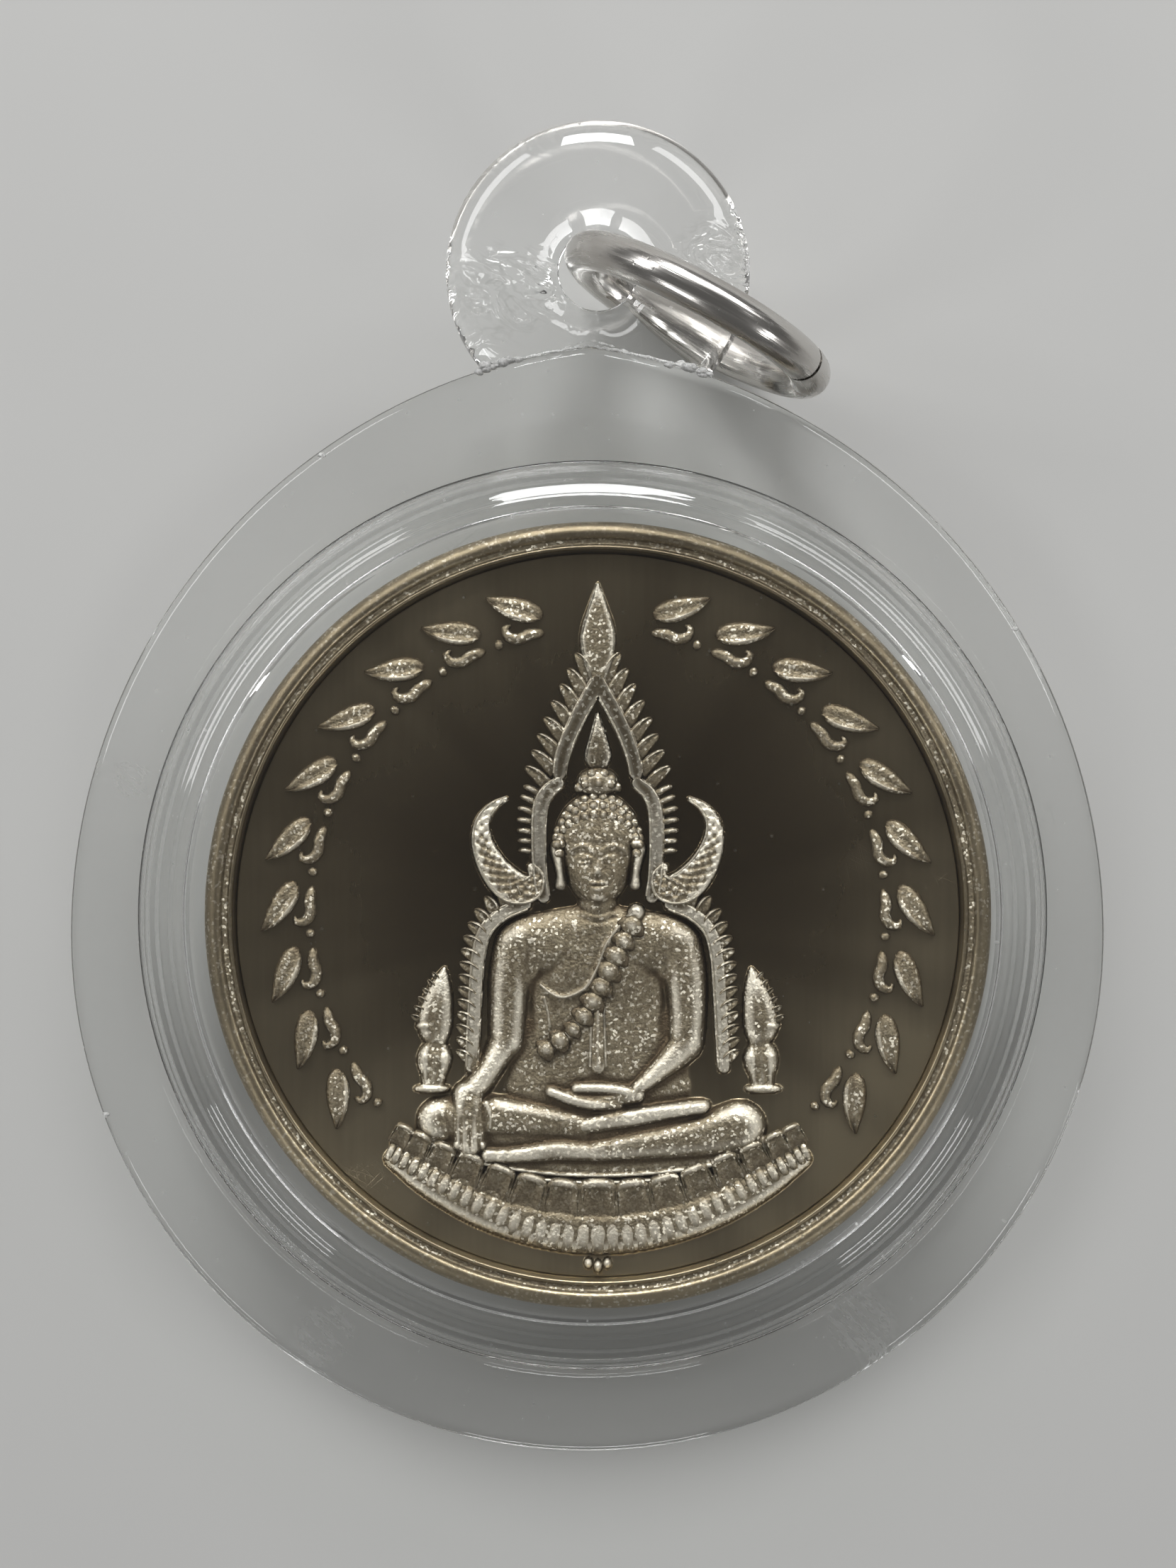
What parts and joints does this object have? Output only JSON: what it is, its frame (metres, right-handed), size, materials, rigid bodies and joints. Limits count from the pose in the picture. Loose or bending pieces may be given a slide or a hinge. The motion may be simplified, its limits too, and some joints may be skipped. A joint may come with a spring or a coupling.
{
  "type": "thai buddha amulet pendant",
  "caption": "Round struck temple medal with a seated figure, sealed in a clear acrylic case with a welded loop disc and a steel jump ring.",
  "frame": {"origin": "axis of the round window, on the outer face of the back window, which the pendant lies on", "axes": "+Z out of the medal's face, +Y towards the loop disc, +X to the right seen from the front"},
  "size_m": [0.0396, 0.0509, 0.0113],
  "materials": {
    "medal_metal": "nickel silver, struck, with a dark mirror field and a frosted relief",
    "clear_acrylic": "clear polished acrylic with fine scratches",
    "ring_steel": "polished round stainless wire, worn"
  },
  "bodies": {
    "root": {"medal": "medal_metal", "case_front": "clear_acrylic", "case_back": "clear_acrylic", "loop_disc": "clear_acrylic", "jump_ring": "ring_steel"}
  },
  "joints": []
}
